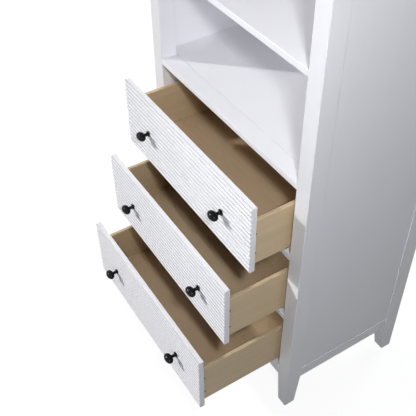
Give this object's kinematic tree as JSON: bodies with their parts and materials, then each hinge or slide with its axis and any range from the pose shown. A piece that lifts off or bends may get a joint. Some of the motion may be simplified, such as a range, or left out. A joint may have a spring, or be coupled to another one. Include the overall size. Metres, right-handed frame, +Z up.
{
  "type": "bathroom cabinet",
  "caption": "Tall white bathroom cabinet on tapered legs, with open shelves above and sliding drawers with reeded fronts and oval black knobs below.",
  "frame": {"origin": "on the floor, under the middle of the object's box as it stands with its drawers open", "axes": "+Z up, +Y from the front towards the wall, +X to the right as seen from the front"},
  "size_m": [0.782, 0.7845, 1.651],
  "materials": {
    "white_paint": "satin white paint",
    "front_paint": "satin white paint",
    "drawer_wood": "clear matt lacquer",
    "drawer_bottom_board": "matt veneer",
    "knob_black": "satin black",
    "runner_steel": "zinc plated",
    "pin_steel": "nickel plated",
    "screw_steel": "dark phosphate",
    "dowel_wood": "bare beech"
  },
  "bodies": {
    "carcass": {"anchor_rail": "white_paint", "back_panel": "white_paint", "bottom_front_rail": "white_paint", "bottom_panel": "white_paint", "divider_rail_lower": "white_paint", "divider_rail_upper": "white_paint", "fixed_shelf": "white_paint", "post_back_left": "white_paint", "post_back_right": "white_paint", "post_front_left": "white_paint", "post_front_right": "white_paint", "rail_above_drawers": "white_paint", "rail_dowels": "dowel_wood", "runner_fixed": "runner_steel", "runner_rail_lower": "white_paint", "runner_rail_upper": "white_paint", "shelf_pins": "pin_steel", "side_panel_left": "white_paint", "side_panel_right": "white_paint", "side_rail_bottom_left": "white_paint", "side_rail_bottom_right": "white_paint", "side_rail_top_left": "white_paint", "side_rail_top_right": "white_paint", "top_board": "white_paint", "top_front_rail": "white_paint", "upper_shelf": "white_paint"},
    "drawer_top": {"drawer_top_box_back": "drawer_wood", "drawer_top_box_bottom": "drawer_bottom_board", "drawer_top_box_front": "drawer_wood", "drawer_top_box_side_left": "drawer_wood", "drawer_top_box_side_right": "drawer_wood", "drawer_top_front": "front_paint", "drawer_top_knob_left": "knob_black", "drawer_top_knob_right": "knob_black", "drawer_top_runner_slides": "runner_steel", "drawer_top_screws": "screw_steel"},
    "drawer_middle": {"drawer_middle_box_back": "drawer_wood", "drawer_middle_box_bottom": "drawer_bottom_board", "drawer_middle_box_front": "drawer_wood", "drawer_middle_box_side_left": "drawer_wood", "drawer_middle_box_side_right": "drawer_wood", "drawer_middle_front": "front_paint", "drawer_middle_knob_left": "knob_black", "drawer_middle_knob_right": "knob_black", "drawer_middle_runner_slides": "runner_steel", "drawer_middle_screws": "screw_steel"},
    "drawer_bottom": {"drawer_bottom_box_back": "drawer_wood", "drawer_bottom_box_bottom": "drawer_bottom_board", "drawer_bottom_box_front": "drawer_wood", "drawer_bottom_box_side_left": "drawer_wood", "drawer_bottom_box_side_right": "drawer_wood", "drawer_bottom_front": "front_paint", "drawer_bottom_knob_left": "knob_black", "drawer_bottom_knob_right": "knob_black", "drawer_bottom_runner_slides": "runner_steel", "drawer_bottom_screws": "screw_steel"},
    "runner_top": {"runner_middle_top": "runner_steel"},
    "runner_middle": {"runner_middle_middle": "runner_steel"},
    "runner_bottom": {"runner_middle_bottom": "runner_steel"}
  },
  "joints": [
    {"name": "drawer_top_slide", "type": "slide", "parent": "carcass", "child": "drawer_top", "axis": [0, -1, 0], "range_m": [-0.13, 0.25]},
    {"name": "runner_top_slide", "type": "slide", "parent": "carcass", "child": "runner_top", "axis": [0, -1, 0], "range_m": [-0.065, 0.125]},
    {"name": "drawer_middle_slide", "type": "slide", "parent": "carcass", "child": "drawer_middle", "axis": [0, -1, 0], "range_m": [-0.205, 0.175]},
    {"name": "runner_middle_slide", "type": "slide", "parent": "carcass", "child": "runner_middle", "axis": [0, -1, 0], "range_m": [-0.1025, 0.0875]},
    {"name": "drawer_bottom_slide", "type": "slide", "parent": "carcass", "child": "drawer_bottom", "axis": [0, -1, 0], "range_m": [-0.29, 0.09]},
    {"name": "runner_bottom_slide", "type": "slide", "parent": "carcass", "child": "runner_bottom", "axis": [0, -1, 0], "range_m": [-0.145, 0.045]}
  ],
  "couplings": [
    {"joint": "runner_top_slide", "follows": "drawer_top_slide", "ratio": 0.5},
    {"joint": "runner_middle_slide", "follows": "drawer_middle_slide", "ratio": 0.5},
    {"joint": "runner_bottom_slide", "follows": "drawer_bottom_slide", "ratio": 0.5}
  ]
}
